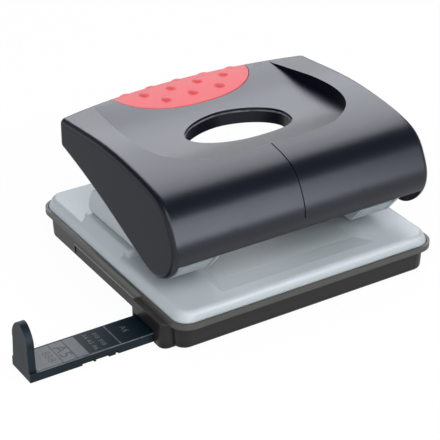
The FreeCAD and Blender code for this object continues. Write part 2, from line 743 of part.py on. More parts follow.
window = superellipse(window_half_x, window_half_y, window_power, shell_centre_x, window_y,
                      front_right_power=window_front_right_power)
window = between(window, cut_low - 10, cut_high)
collar_form = superellipse(window_half_x + window_collar_wall, window_half_y + window_collar_wall, window_power,
                           shell_centre_x, window_y, front_right_power=window_front_right_power)
collar_form = between(collar_form, window_collar_bottom, 57).common(outer)
shell = outer.cut(cavity).fuse(collar_form).cut(window).cut(pad)
for side in (-1, 1):
    for x, y, radius in [(screw_xs[0], screw_y, boss_radius), (screw_xs[1], screw_y, boss_radius),
                         (punch_x, lever_web_rear_y - press_boss_radius, press_boss_radius)]:
        boss = cylinder(radius, V(side * x, y, lever_web_top), Z, 8.5).common(outer)
        shell = shell.fuse(boss)
    for x in screw_xs:
        hole = cylinder(screw_radius, V(side * x, screw_y, lever_web_top - 1), Z, screw_length - 0.5)
        shell = shell.cut(hole)

# The fine seam down the middle of the front
seam_front_y = min(y for y, z in shell_profile) - 1
seam = box(seam_x - seam_width / 2, seam_x + seam_width / 2, seam_front_y, sunk_outline[-1][1],
           front_wall_bottom + seam_end, cut_high)
seam = seam.cut(profile_inset(seam_depth, seam_x - seam_width, seam_x + seam_width))
shell = shell.cut(seam)
save("handle_shell", shell)


# Handle screws, two to a lever
screws = []
for side in (-1, 1):
    for x in screw_xs:
        foot = V(side * x, screw_y, lever_web_bottom - screw_head_height)
        head = cylinder(screw_head_radius, foot, Z, screw_head_height)
        head = head.makeChamfer(0.4, flat_edges(head, foot.z))
        socket = box(side * x - 1.9, side * x + 1.9, screw_y - 0.35, screw_y + 0.35, foot.z - 1, foot.z + 0.8)
        shank = cylinder(screw_radius - 0.02, foot, Z, screw_length)
        screws.append(head.fuse(shank).cut(socket).removeSplitter().Solids[0])
save("handle_screws", Part.makeCompound(screws))


# Grip pad with its nubs: a front row, a middle row and a row on the rear edge
def nub(x, y, z, heading):
    ball = (nub_radius ** 2 + nub_height ** 2) / (2 * nub_height)
    probe = Part.makeLine(V(x, y, z) - heading * 30, V(x, y, z) + heading * 30)
    hits = [v.Point for v in probe.common(pad).Vertexes]
    tip = max(hits, key=lambda p: p.dot(heading))
    centre = tip + heading * (nub_height - ball)
    low = math.degrees(math.asin((ball - nub_height - 0.5) / ball))
    return Part.makeSphere(ball, centre, heading, low, 90, 360)


slant = V(0, 1, 1).normalize()
nubs = [nub(i * nub_pitch, nub_front_y, grip_bottom, Z) for i in (-1, 0, 1)]
nubs += [nub(i * nub_pitch, nub_middle_y, grip_bottom, Z) for i in (-1.5, -0.5, 0.5, 1.5)]
for i in (-2, -1, 0, 1, 2):
    edge_y = shell_rear_mid_y - shell_rear_radius + math.sqrt(shell_rear_radius ** 2 - (i * nub_pitch) ** 2)
    nubs.append(nub(i * nub_pitch, edge_y - shell_edge_fillet, shell_profile[0][1] - shell_edge_fillet, slant))
for bump in nubs:
    pad = pad.fuse(bump)
save("grip_pad", pad)


# Paper guide: a grooved bar with notches and an upright stop
bar_x0 = -guide_reach - stop_thickness
bar_y0 = guide_y - guide_width / 2
bar_y1 = guide_y + guide_width / 2
bar = box(bar_x0, bar_x0 + guide_length, bar_y0, bar_y1, guide_lift, guide_top)
groove_z = guide_lift + guide_groove_bottom
groove_top = groove_z + guide_groove_height
for rail_x, y0, y1 in [(front_rail_x, bar_y0 - 1, bar_y0 + guide_groove_depth),
                       (rear_rail_x, bar_y1 - guide_groove_depth, bar_y1 + 1)]:
    groove_x0 = rail_x - guide_travel_in - 3 * rail_gap
    bar = bar.cut(box(groove_x0, bar_x0 + guide_length + 1, y0, y1, groove_z, groove_top))
for start, end in notch_spans:
    notch = box(start, end, bar_y0 - 1, bar_y0 + notch_depth, guide_lift - 1, guide_lift + notch_height)
    notch.translate(V(-guide_reach, 0, 0))
    bar = bar.cut(notch)
stop_y0 = guide_y - stop_width / 2
stop_y1 = guide_y + stop_width / 2
stop_top = guide_lift + stop_height
stop_side = stop_top - stop_shoulder
stop_edges = [
    Part.makeLine(V(bar_x0, stop_y0, guide_lift), V(bar_x0, stop_y1, guide_lift)),
    Part.makeLine(V(bar_x0, stop_y1, guide_lift), V(bar_x0, stop_y1 - stop_taper, stop_side)),
]
crown = Part.BSplineCurve()
crown.interpolate([
    V(bar_x0, stop_y1 - stop_taper, stop_side), V(bar_x0, stop_y1 - stop_taper - 1.6, stop_top - 2.6),
    V(bar_x0, guide_y, stop_top), V(bar_x0, stop_y0 + stop_taper + 1.6, stop_top - 2.6),
    V(bar_x0, stop_y0 + stop_taper, stop_side),
])
stop_edges.append(crown.toShape())
stop_edges.append(Part.makeLine(V(bar_x0, stop_y0 + stop_taper, stop_side), V(bar_x0, stop_y0, guide_lift)))
stop = Part.Face(Part.Wire(stop_edges)).extrude(V(stop_thickness, 0, 0))
bar = bar.fuse(stop)
label_x0 = -guide_reach + label_start
label = box(label_x0, label_x0 + label_length, guide_y - label_width / 2, guide_y + label_width / 2,
            guide_top - label_thickness, guide_top)
bar = bar.cut(label)
save("guide_bar", bar)
save("guide_label", label)
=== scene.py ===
# %% [markdown]
# # A two-hole punch, dressed for its picture
#
# A desk punch stands on a white table. Its solids come ready made from CAD, in metres, each in its place: a
# dark tray, a pressed steel base, two U brackets with their pins and springs, a black handle with a window
# and a soft grip, and a paper guide that slides out at the left. This lesson gives every one of them its
# finish, and makes the pieces that a solid modeller is bad at: the soft grip with its nubs, the wound
# springs and the fine marks on the guide. X runs along the punch, Y from its front to its rear, and Z is
# up.

import math

import bpy
import numpy as np
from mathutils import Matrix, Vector


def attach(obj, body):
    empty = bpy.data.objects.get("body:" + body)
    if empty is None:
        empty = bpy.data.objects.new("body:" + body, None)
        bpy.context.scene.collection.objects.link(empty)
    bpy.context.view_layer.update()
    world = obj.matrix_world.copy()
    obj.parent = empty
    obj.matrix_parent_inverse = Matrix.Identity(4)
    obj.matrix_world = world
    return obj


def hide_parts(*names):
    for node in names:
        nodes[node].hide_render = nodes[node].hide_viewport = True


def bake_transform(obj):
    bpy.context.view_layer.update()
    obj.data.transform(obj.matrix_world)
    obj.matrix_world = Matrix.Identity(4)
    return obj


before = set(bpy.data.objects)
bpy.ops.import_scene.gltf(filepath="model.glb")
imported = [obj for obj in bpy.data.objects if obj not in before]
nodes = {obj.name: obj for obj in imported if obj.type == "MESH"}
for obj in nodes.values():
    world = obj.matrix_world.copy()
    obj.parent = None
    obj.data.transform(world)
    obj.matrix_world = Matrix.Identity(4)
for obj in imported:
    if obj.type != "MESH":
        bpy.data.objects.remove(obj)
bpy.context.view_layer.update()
mm = 0.001

# %% [markdown]
# ## The camera
#
# The picture was taken from the front left, about 30 degrees above the table, through a long lens from
# nearly 70 cm away. A long lens keeps the two long edges of the base almost parallel, and that is how its
# focal length was found. Turning the camera about Z first and then tipping it up from the table keeps the
# picture level.

# %% Set the camera
camera_data = bpy.data.cameras.new("camera")
camera_data.sensor_width = 36.0
camera_data.lens = 142.15
camera = bpy.data.objects.new("camera", camera_data)
camera.location = (-0.3150, -0.4929, 0.3458)
camera.rotation_euler = (math.radians(60.40), 0.0, math.radians(-32.09))
bpy.context.scene.collection.objects.link(camera)
bpy.context.scene.camera = camera
print("camera", round(camera.location.length, 3), "m from the middle of the punch")

# %% [markdown]
# ## Shader maths as plain sums
#
# A material is a graph of nodes, and a graph is hard to read. Here one small class stands for a value on
# its way through the graph, so that `0.3 + mask * 0.1` adds the two Math nodes by itself. Everything that
# isn't a sum comes from `node`, which makes a node of any type, sets its settings first and then fills its
# sockets.

# %% A value that adds its own Math nodes
class Flow:
    """An output socket. Sums on it add Math nodes and give a new Flow."""

    def __init__(self, finish, socket):
        self.finish = finish
        self.socket = socket

    def maths(self, operation, first, second=0.0, clamp=False):
        settings = {"operation": operation, "use_clamp": clamp}
        return self.finish.node("ShaderNodeMath", settings, {0: first, 1: second})

    def __add__(self, other):
        return self.maths("ADD", self, other)

    def __sub__(self, other):
        return self.maths("SUBTRACT", self, other)

    def __mul__(self, other):
        return self.maths("MULTIPLY", self, other)

    def held(self):
        """The value kept between 0 and 1."""
        return self.maths("ADD", self, 0.0, clamp=True)

    __radd__ = __add__
    __rmul__ = __mul__


# %% [markdown]
# Materials and the world are trees of nodes. One class holds such a tree while it is built, and has a
# method for each thing that comes back: a point, a cloud of noise, a mix of two colours, a soft step and a
# bump.

# %% A material that builds itself node by node
class Finish:
    """The tree of one material, or of the world, while it is being built."""

    def __init__(self, name, owner=None):
        self.material = owner or bpy.data.materials.new(name)
        self.material.use_nodes = True
        self.tree = self.material.node_tree
        self.tree.nodes.clear()

    def node(self, kind, settings=None, sockets=None, out=0):
        """Adds a node of that kind. Settings are set before the sockets are filled with values or Flows."""
        made = self.tree.nodes.new(kind)
        for key, value in (settings or {}).items():
            setattr(made, key, value)
        for key, value in (sockets or {}).items():
            if isinstance(value, Flow):
                self.tree.links.new(value.socket, made.inputs[key])
            else:
                made.inputs[key].default_value = value
        return Flow(self, made.outputs[out])

    def place(self):
        """The point of the surface in the object's own metres."""
        return self.node("ShaderNodeTexCoord", out="Object")

    def parts(self, point):
        """The point's x, y and z as three Flows."""
        return [self.node("ShaderNodeSeparateXYZ", sockets={0: point}, out=i) for i in range(3)]

    def noise(self, point, size, detail=2.0, roughness=0.5):
        """Cloudy noise from 0 to 1, whose lumps are about size metres across."""
        return self.node("ShaderNodeTexNoise", {"noise_dimensions": "3D"},
                         {"Vector": point, "Scale": 1.0 / size, "Detail": detail, "Roughness": roughness})

    def mixed(self, share, first, second):
        """first where share is 0 and second where it is 1, as a colour."""
        return self.node("ShaderNodeMix", {"data_type": "RGBA"}, {0: share, 6: first, 7: second}, out=2)

    def band(self, value, low, high):
        """0 below low, 1 above high and a smooth step between. It falls instead if low is above high."""
        return self.node("ShaderNodeMapRange", {"interpolation_type": "SMOOTHSTEP"},
                         {"Value": value, "From Min": low, "From Max": high, "To Min": 0.0, "To Max": 1.0})

    def bump(self, height, depth, strength):
        """A normal tilted by height, which is depth metres from its lowest to its highest."""
        return self.node("ShaderNodeBump", {}, {"Height": height, "Distance": depth, "Strength": strength})

    def principled(self, **sockets):
        """A Principled shader. Its sockets are given by name, with _ for a space."""
        named = {key.replace("_", " "): value for key, value in sockets.items()}
        return self.node("ShaderNodeBsdfPrincipled", {}, named)

    def surface(self, **sockets):
        """Ends the material in one Principled shader."""
        self.end(self.principled(**sockets))
        return self.material

    def end(self, shader, kind="ShaderNodeOutputMaterial"):
        """Links a shader to the tree's output."""
        output = self.tree.nodes.new(kind)
        self.tree.links.new(shader.socket, output.inputs[0])


def grey(value, warm=0.0):
    """A colour of one grey, a little warmer or, below 0, cooler."""
    return (value * (1 + warm), value, value * (1 - warm), 1.0)


print("a small language for materials is ready")

# %% [markdown]
# ## White table, soft light
#
# The table is one large white disc. Rays from the camera, from gloss and through clear plastic see it as
# plain white, mixed with a share of the really lit white so that the punch keeps a faint shadow. The world
# is a room: matt surfaces get its even light, while a reflection finds a white wall low around the table
# and dimness above. Two soft boxes are there for their reflections alone: a large one behind the punch,
# which lies as a pale sheen on the top of the handle, and a low wide one in front, which draws the lighter
# stripe on the handle's front. No reflection comes from high in front, and this leaves the dark stripe
# along the bend. Two fills light the matt surfaces from higher up, so that the shallow steps in the base
# stay soft, and one more box at the front left does both.

# %% Floor, world and lamps
def see_white(finish, lit):
    """Mixes white over a lit shader for rays from the camera, from gloss and through clear plastic."""
    rays = [finish.node("ShaderNodeLightPath", out=name)
            for name in ("Is Camera Ray", "Is Glossy Ray", "Is Transmission Ray")]
    share = (rays[0] + rays[1] + rays[2]).held() * WHITE_SHARE
    white = finish.node("ShaderNodeEmission", {}, {"Color": grey(1.0), "Strength": 1.0})
    return finish.node("ShaderNodeMixShader", {}, {0: share, 1: lit, 2: white})


WHITE_SHARE = 0.95
ROOM_LIGHT = 0.45
DIM_LIGHT = 0.15
FLOOR_RADIUS = 6.0
FLOOR_SIDES = 96
ring = np.linspace(0, 2 * np.pi, FLOOR_SIDES + 1)[:-1]
floor_points = np.c_[FLOOR_RADIUS * np.cos(ring), FLOOR_RADIUS * np.sin(ring), 0 * ring]
floor_mesh = bpy.data.meshes.new("floor")
floor_mesh.from_pydata(floor_points.tolist(), [], [list(range(FLOOR_SIDES))])
floor = bpy.data.objects.new("floor", floor_mesh)
bpy.context.scene.collection.objects.link(floor)
table_top = Finish("table_top")
table_white = table_top.node("ShaderNodeBsdfDiffuse", {}, {"Color": grey(0.9)})
table_top.end(see_white(table_top, table_white))
floor_mesh.materials.append(table_top.material)

bpy.context.scene.view_settings.view_transform = "Standard"
world = bpy.data.worlds.new("studio")
bpy.context.scene.world = world
studio = Finish("studio", world)
ambient = studio.node("ShaderNodeBackground", {}, {"Color": grey(1.0, -0.02), "Strength": ROOM_LIGHT})
dim = studio.node("ShaderNodeBackground", {}, {"Color": grey(1.0, -0.02), "Strength": DIM_LIGHT})
white = studio.node("ShaderNodeBackground", {}, {"Color": grey(1.0), "Strength": 1.0})
camera_ray, gloss_ray, clear_ray = [studio.node("ShaderNodeLightPath", out=name)
                                    for name in ("Is Camera Ray", "Is Glossy Ray", "Is Transmission Ray")]
heading = studio.node("ShaderNodeTexCoord", out="Generated")
rise = studio.node("ShaderNodeSeparateXYZ", sockets={0: heading}, out=2)
backdrop = studio.band(rise, 0.30, 0.12)
reflected = studio.node("ShaderNodeMixShader", {}, {0: backdrop, 1: dim, 2: white})
room = studio.node("ShaderNodeMixShader", {}, {0: (gloss_ray + clear_ray).held(), 1: ambient, 2: reflected})
all_seen = studio.node("ShaderNodeMixShader", {}, {0: camera_ray, 1: room, 2: white})
studio.end(all_seen, "ShaderNodeOutputWorld")


def soft_box(name, place, aim, width, height, brightness, colour=(1.0, 1.0, 1.0), matt=True, gloss=True):
    """A flat lamp at place that faces aim. Brightness is its glow where a white sheet of paper would be 1.

    Without matt it is only seen as a reflection, and without gloss it only lights.
    """
    data = bpy.data.lights.new(name, "AREA")
    data.shape = "RECTANGLE"
    data.size, data.size_y = width, height
    data.energy = brightness * math.pi * width * height
    data.color = colour
    lamp = bpy.data.objects.new(name, data)
    lamp.location = place
    lamp.rotation_euler = (Vector(aim) - Vector(place)).to_track_quat("-Z", "Y").to_euler()
    lamp.visible_diffuse = matt
    lamp.visible_glossy = gloss
    bpy.context.scene.collection.objects.link(lamp)


TARGET = (0.0, 0.0, 0.05)
soft_box("rear_sheen", (0.40, 0.60, 0.64), TARGET, 0.76, 0.84, 4.5, (0.955, 0.985, 1.06), matt=False)
soft_box("front_sheen", (0.05, -0.62, 0.20), TARGET, 0.70, 0.38, 6.3, (0.92, 0.97, 1.10), matt=False)
soft_box("rear_fill", (0.30, 0.55, 0.70), TARGET, 0.76, 0.80, 1.0, gloss=False)
soft_box("front_fill", (0.05, -0.62, 0.62), TARGET, 0.80, 0.50, 4.0, gloss=False)
soft_box("left_box", (-0.62, -0.62, 0.70), (0.0, 0.0, 0.03), 0.7, 0.7, 3.0)

# %% [markdown]
# ## The handle's black plastic
#
# The handle is moulded in black ABS. Its mould was spark eroded, so the skin is a very fine grain that
# spreads every reflection without hiding it. The colour hardly varies, but a hand has polished the top here
# and there, so the roughness drifts by a few hundredths in large soft clouds. The two flat cheeks keep a
# coarser grain that hardly reflects, so a second shader takes over there.

# %% Handle plastic
CHEEK_X = max(abs(v.co.x) for v in nodes["handle_shell"].data.vertices)


def handle_plastic():
    """Polished skin, and on the two cheeks a dull one."""
    finish = Finish("handle_plastic")
    point = finish.place()
    across = finish.parts(point)[0]
    grain = finish.noise(point, 0.00035, 3.0, 0.6)
    clouds = finish.noise(point, 0.020, 3.0)
    rubbed = finish.band(finish.noise(point, 0.006, 4.0, 0.7), 0.58, 0.75)
    colour = finish.mixed(rubbed * 0.25, (0.0014, 0.0026, 0.0078, 1.0), (0.0040, 0.0054, 0.0115, 1.0))
    skin_grain = finish.bump(grain, 0.00003, 0.35)
    smooth = finish.principled(
        Base_Color=colour, Roughness=0.30 + clouds * 0.05 + rubbed * 0.03, Specular_IOR_Level=0.38,
        Normal=skin_grain)
    dull = finish.principled(
        Base_Color=colour, Roughness=0.38 + clouds * 0.05, Specular_IOR_Level=0.02, Normal=skin_grain)
    cheek = finish.band(across.maths("ABSOLUTE", across), CHEEK_X - 0.7 * mm, CHEEK_X - 0.2 * mm)
    finish.end(finish.node("ShaderNodeMixShader", {}, {0: cheek, 1: smooth, 2: dull}))
    return finish.material


def ledge_highlight():
    """The handle's plastic painted pale, a painted highlight along the window's ledge."""
    finish = Finish("ledge_highlight")
    point = finish.place()
    # The noise drifts the painted highlight between two pale greys.
    rubbed = finish.band(finish.noise(point, 0.005, 4.0, 0.7), 0.35, 0.65)
    colour = finish.mixed(rubbed, (0.050, 0.050, 0.056, 1.0), (0.16, 0.16, 0.17, 1.0))
    return finish.surface(Base_Color=colour, Roughness=0.35)


# %% [markdown]
# ## The soft grip
#
# The grip is a rubbery pad moulded into the handle. It is matt and a little translucent, so light enters
# it, scatters and comes back warmer, which subsurface scattering gives. Its colour drifts a little in soft
# clouds.

# %% Grip rubber
def grip_rubber():
    """Matt rubber that lets a little light in."""
    finish = Finish("grip_rubber")
    point = finish.place()
    grain = finish.noise(point, 0.00030, 2.0)
    clouds = finish.noise(point, 0.009, 3.0)
    colour = finish.mixed(clouds, (0.56, 0.034, 0.040, 1.0), (0.61, 0.045, 0.052, 1.0))
    return finish.surface(
        Base_Color=colour, Roughness=0.50 + clouds * 0.06, Subsurface_Weight=0.25, Subsurface_Scale=0.002,
        Subsurface_Radius=(1.0, 0.35, 0.25), Normal=finish.bump(grain, 0.00002, 0.3))


# %% [markdown]
# ## Silver lacquer on the base
#
# The base and brackets are pressed from sheet steel and sprayed with a silver lacquer. Seen close it is a
# haze of tiny flakes, each a little paler or darker and tilted its own way. The press leaves broad and very
# shallow waves in a sheet this thin, and they bend the reflections a little.

# %% Base lacquer
def base_lacquer():
    """Silver lacquer of fine flakes on a slightly wavy sheet."""
    finish = Finish("base_lacquer")
    point = finish.place()
    flakes = finish.noise(point, 0.00022, 1.0)
    clouds = finish.noise(point, 0.015, 2.0)
    waves = finish.noise(point, 0.030, 1.0)
    colour = finish.mixed(flakes, (0.365, 0.405, 0.430, 1.0), (0.445, 0.485, 0.510, 1.0))
    return finish.surface(
        Base_Color=colour, Roughness=0.36 + clouds * 0.06, Specular_IOR_Level=0.35,
        Normal=finish.bump(flakes * 0.15 + waves, 0.00010, 0.5))


# %% [markdown]
# ## Smoked plastic of the tray
#
# The tray is a smoky see-through grey in thick places and paler where it is thin, above all along its rim.
# Instead of tracing light through its walls, the colour follows the height: dark near the foot, where the
# wall and the space behind it swallow the light, and paler in the rim. The left wall is thinner in a recess
# beside the guide's housing: that stretch is darkened with painted shade, and a painted highlight draws a
# fine pale line along its upper edge.

# %% Tray plastic
def tray_plastic():
    """Dark walls, a paler rim, and painted shade on the thin stretch of the left wall, with a painted
    highlight along its upper edge.
    """
    finish = Finish("tray_plastic")
    point = finish.place()
    x, y, z = finish.parts(point)
    flow = finish.noise(point, 0.012, 3.0)
    grain = finish.noise(point, 0.00040, 2.0)
    rim = finish.band(z + flow * 0.0008, 0.0098, 0.0112)
    foot = finish.band(z, 0.0035, 0.0)
    left = finish.band(x, -0.0535, -0.0540)
    left = left * finish.band(y, 0.0290, 0.0282) * finish.band(y, -0.0250, -0.0240)
    # Painted shade darkens the recess in the left wall, and a painted highlight lines its upper edge.
    recess_shade = left * finish.band(z, 0.0054, 0.0051)
    edge = left * finish.band(z, 0.0049, 0.0052) * finish.band(z, 0.0060, 0.0056)
    wall = finish.mixed(foot, (0.013, 0.012, 0.013, 1.0), (0.004, 0.004, 0.005, 1.0))
    wall = finish.mixed(recess_shade, wall, (0.004, 0.004, 0.005, 1.0))
    wall = finish.mixed(edge, wall, (0.16, 0.155, 0.15, 1.0))
    colour = finish.mixed(rim, wall, (0.062, 0.061, 0.058, 1.0))
    return finish.surface(
        Base_Color=colour, Roughness=0.34 + flow * 0.08, Specular_IOR_Level=0.22,
        Normal=finish.bump(grain, 0.00002, 0.25))


# %% [markdown]
# ## The guide and its label
#
# The guide is moulded in a blue-black plastic, with a coarser grain than the handle. Its first third
# carries a light grey panel with the format marks, printed and a little worn. Its upper edges carry a
# painted highlight, a pale colour along them.

# %% Guide plastic and label face
def guide_plastic():
    """Blue-black plastic with a coarse grain."""
    finish = Finish("guide_plastic")
    point = finish.place()
    grain = finish.noise(point, 0.00045, 3.0, 0.6)
    clouds = finish.noise(point, 0.007, 2.0)
    colour = finish.mixed(clouds, (0.0015, 0.0065, 0.0105, 1.0), (0.0030, 0.0100, 0.0150, 1.0))
    return finish.surface(
        Base_Color=colour, Roughness=0.40 + clouds * 0.08, Specular_IOR_Level=0.15,
        Normal=finish.bump(grain, 0.00005, 0.4))


def label_face():
    """The light grey panel, darker where it is rubbed."""
    finish = Finish("label_face")
    point = finish.place()
    rubbed = finish.band(finish.noise(point, 0.0012, 4.0, 0.7), 0.45, 0.75)
    colour = finish.mixed(rubbed, (0.091, 0.099, 0.107, 1.0), (0.068, 0.074, 0.080, 1.0))
    return finish.surface(Base_Color=colour, Roughness=0.45 + rubbed * 0.1, Specular_IOR_Level=0.3)


def ink(name, dark, light):
    """Printing ink that is rubbed a little through in small spots."""
    finish = Finish(name)
    point = finish.place()
    rubbed = finish.noise(point, 0.0008, 3.0)
    return finish.surface(Base_Color=finish.mixed(rubbed, dark, light), Roughness=0.5)


def guide_wear_and_highlight():
    """Pale plastic with rubbed patches: a painted highlight along the guide's edges and ridge, also used
    for the moulded letters.
    """
    finish = Finish("guide_wear_and_highlight")
    point = finish.place()
    rubbed = finish.band(finish.noise(point, 0.004, 4.0, 0.7), 0.35, 0.65)
    colour = finish.mixed(rubbed, (0.020, 0.034, 0.042, 1.0), (0.075, 0.090, 0.100, 1.0))
    return finish.surface(Base_Color=colour, Roughness=0.42)


# %% [markdown]
# ## Steel, four ways
#
# The levers are zinc plated and slightly mottled. Washers, rivets and pivots are bright plain steel. The
# punch pins are hardened and ground round, which leaves fine rings, and the springs are drawn wire with
# long streaks. One function makes them all: colour, roughness and the size and stretch of the marks change.

# %% Steel finishes
def steel(name, dark, light, roughness, mark, stretch=(1.0, 1.0, 1.0)):
    """Bare steel with marks of that size in metres, squeezed by stretch along each axis."""
    finish = Finish(name)
    point = finish.place()
    turned = finish.node("ShaderNodeMapping", {}, {"Vector": point, "Scale": stretch})
    streaks = finish.noise(turned, mark, 3.0)
    colour = finish.mixed(streaks, dark, light)
    return finish.surface(
        Base_Color=colour, Metallic=1.0, Roughness=roughness + streaks * 0.10,
        Normal=finish.bump(streaks, 0.00002, 0.3))


finishes = {
    "handle_plastic": handle_plastic(),
    "ledge_highlight": ledge_highlight(),
    "grip_rubber": grip_rubber(),
    "base_lacquer": base_lacquer(),
    "tray_plastic": tray_plastic(),
    "guide_plastic": guide_plastic(),
    "label_face": label_face(),
    "mark_ink": ink("mark_ink", (0.004, 0.005, 0.006, 1.0), (0.012, 0.013, 0.015, 1.0)),
    "faded_ink": ink("faded_ink", (0.010, 0.011, 0.013, 1.0), (0.024, 0.026, 0.029, 1.0)),
    "guide_wear_and_highlight": guide_wear_and_highlight(),
    "steel": steel("steel", grey(0.45), grey(0.62), 0.25, 0.0008),
    "hard_steel": steel("hard_steel", grey(0.36, -0.03), grey(0.58, -0.02), 0.16, 0.0006, (1.0, 1.0, 9.0)),
    "spring_steel": steel("spring_steel", grey(0.30), grey(0.52), 0.22, 0.0005, (1.0, 1.0, 0.3)),
    "lever_steel": steel("lever_steel", grey(0.40, 0.03), grey(0.60, 0.05), 0.32, 0.0030),
}

# %% [markdown]
# ## Who wears what
#
# Every solid gets one finish. A solid that a finer piece replaces further on, such as the pad or a spring,
# gets one too, so that nothing is ever bare. The screws, pins and clips inside are small, but can be seen
# from low down or with the handle pressed.

# %% Give each solid its finish
wears = {
    "handle_plastic": ["handle_shell"],
    "grip_rubber": ["grip_pad"],
    "base_lacquer": ["base_plate", "left_bracket", "right_bracket"],
    "tray_plastic": ["chip_tray"],
    "guide_plastic": ["guide_bar"],
    "label_face": ["guide_label"],
    "steel": ["handle_screws"] + [side + part for side in ("left_", "right_") for part in (
        "bracket_rivets", "spring_washer", "pivot_pin", "pivot_clip")],
    "hard_steel": [side + part for side in ("left_", "right_") for part in ("punch_pin", "retaining_clip")],
    "spring_steel": ["left_return_spring", "right_return_spring"],
    "lever_steel": ["left_lever", "right_lever"],
}
for finish_name, wearers in wears.items():
    for wearer in wearers:
        nodes[wearer].data.materials.clear()
        nodes[wearer].data.materials.append(finishes[finish_name])
print("finishes on", sum(len(w) for w in wears.values()), "solids")

# %% [markdown]
# ## Surfaces from formulas
#
# The pieces from here on are grids of points. A shape is a function of two numbers, one along the rows and
# one across, and numpy works the whole grid out at once. `skin` turns such a grid into faces. A side that
# meets itself again, such as the way round a tube, is closed by repeating the first row's numbers at the
# end.

# %% Grid to mesh
def skin(name, points, body, finish, close_rows=False, close_columns=False, poles=False):
    """Points is an array of rows x columns x 3, in metres. Each cell becomes one four-sided face.

    With poles, the first and the last row are each closed by a fan of triangles about their middle.
    """
    rows, columns = points.shape[:2]
    index = np.arange(rows * columns).reshape(rows, columns)
    if close_rows:
        index = np.vstack([index, index[:1]])
    if close_columns:
        index = np.hstack([index, index[:, :1]])
    quads = np.stack([index[:-1, :-1], index[1:, :-1], index[1:, 1:], index[:-1, 1:]], -1).reshape(-1, 4)
    vertices = points.reshape(-1, 3)
    faces = quads.tolist()
    if poles:
        first, last = rows * columns, rows * columns + 1
        vertices = np.vstack([vertices, points[0].mean(0), points[-1].mean(0)])
        low, high = index[0], index[-1]
        faces += np.c_[low[:-1], low[1:], np.full(len(low) - 1, first)].tolist()
        faces += np.c_[high[1:], high[:-1], np.full(len(high) - 1, last)].tolist()
    mesh = bpy.data.meshes.new(name)
    mesh.from_pydata(vertices.tolist(), [], faces)
    mesh.shade_smooth()
    mesh.materials.append(finishes[finish])
    piece = bpy.data.objects.new(name, mesh)
    bpy.context.scene.collection.objects.link(piece)
    if body:
        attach(piece, body)
    print(name, len(vertices), "points", len(faces), "faces")
    return piece


def smooth_through(at, xs, ys):
    """A smooth curve through the points (xs, ys), of cubics that leave each point with the mean slope."""
    xs, ys = np.asarray(xs, float), np.asarray(ys, float)
    slopes = np.gradient(ys, xs)
    i = np.clip(np.searchsorted(xs, at) - 1, 0, len(xs) - 2)
    gap = xs[i + 1] - xs[i]
    t = (at - xs[i]) / gap
    return ((1 + 2 * t) * (1 - t) ** 2 * ys[i] + t * (1 - t) ** 2 * gap * slopes[i]
            + t * t * (3 - 2 * t) * ys[i + 1] + t * t * (t - 1) * gap * slopes[i + 1])


# %% [markdown]
# ## The grip pad
#
# The pad starts as a half oval on top of the handle, runs over the rounded rear edge and ends low on the
# rear wall. Each column of the grid is one section through it: up the wall, round the edge by its 2.2 mm
# radius and forward along the top to the oval's outline. Nubs are then raised from it. They are domes,
# whose height depends on how far a point lies from the nub's middle. Along the outline the skin rolls down
# into its recess, which draws the fine dark line between pad and handle.

# %% Grip pad
top_y = [0.0, 15.0, 30.8, 38.0, 46.0]
top_z = [60.15, 59.2, 57.6, 57.0, 56.3]
floor_y = [-30.0, -20.0, -12.0, -2.4, 5.0, 11.0, 16.0, 21.0, 29.0, 36.0, 46.0]
floor_z = [59.3, 57.2, 55.9, 55.2, 55.0, 55.0, 55.15, 55.55, 56.5, 57.15, 57.6]


def top_height(y):
    """Height of the handle's top in mm: the lower of the outer skin and the sunk floor, joined smoothly."""
    outer, sunk = smooth_through(y, top_y, top_z), smooth_through(y, floor_y, floor_z)
    return (outer + sunk - np.sqrt((outer - sunk) ** 2 + 0.02)) / 2


rear_y, rear_radius, rear_edge, handle_x = 43.5, 187.0, 2.2, 0.2
pad_half_x, pad_half_y, pad_power, pad_y, pad_bottom = 30.46, 21.8, 2.3, 42.8, 50.05


def rear_wall(x):
    """y of the handle's rear wall in mm, which is bowed by rear_radius."""
    return rear_y - rear_radius + np.sqrt(rear_radius ** 2 - x ** 2)


def grip_section(columns, rows):
    """The pad's skin in mm, its normals, and the path's length from its foot and to its front.

    x follows a sine, so that columns crowd at the ends, and stops just short of them. Down each column runs
    one path: the rear wall, then the arc round its edge, then the top to the oval's front.
    """
    x = pad_half_x * np.sin(np.linspace(-0.5, 0.5, columns) * np.pi) * 0.9985
    front = pad_y - pad_half_y * (1 - np.abs(x / pad_half_x) ** pad_power) ** (1 / pad_power)
    edge = rear_edge
    rear = rear_wall(x - handle_x)
    crest = top_height(rear - edge)
    wall = crest - edge - pad_bottom
    turn = np.arccos(np.clip((front - rear + edge) / edge, 0, 1))
    run = np.maximum(rear - edge - front, 0)
    t = np.linspace(0, 1, rows)[:, None]
    s = t * (wall + edge * turn + run)
    angle = np.clip((s - wall) / edge, 0, turn)
    ahead = np.maximum(s - wall - edge * turn, 0)
    y = rear - edge + edge * np.cos(angle) - ahead
    on_top = top_height(y) - crest
    z = np.minimum(s, wall) + pad_bottom + edge * np.sin(angle) + np.where(ahead > 0, on_top, 0)
    slope = np.where(ahead > 0, (top_height(y + 0.1) - top_height(y - 0.1)) / 0.2, 0.0)
    bow = (x - handle_x) / rear_radius
    normal = np.stack([bow * np.cos(angle), np.cos(angle) - slope, np.sin(angle)], -1)
    normal /= np.linalg.norm(normal, axis=-1, keepdims=True)
    return np.stack([np.broadcast_to(x, y.shape), y, z], -1), normal, s, (wall + edge * turn + run) - s


def nub_lift(points, centres, radius, height):
    """How far domes at the centres raise each point: height x (1 - (distance / radius) ^ 2) ^ 1.5."""
    near = np.min([np.linalg.norm(points - centre, axis=-1) for centre in centres], axis=0) / radius
    return height * np.clip(1 - near ** 2, 0, 1) ** 1.5


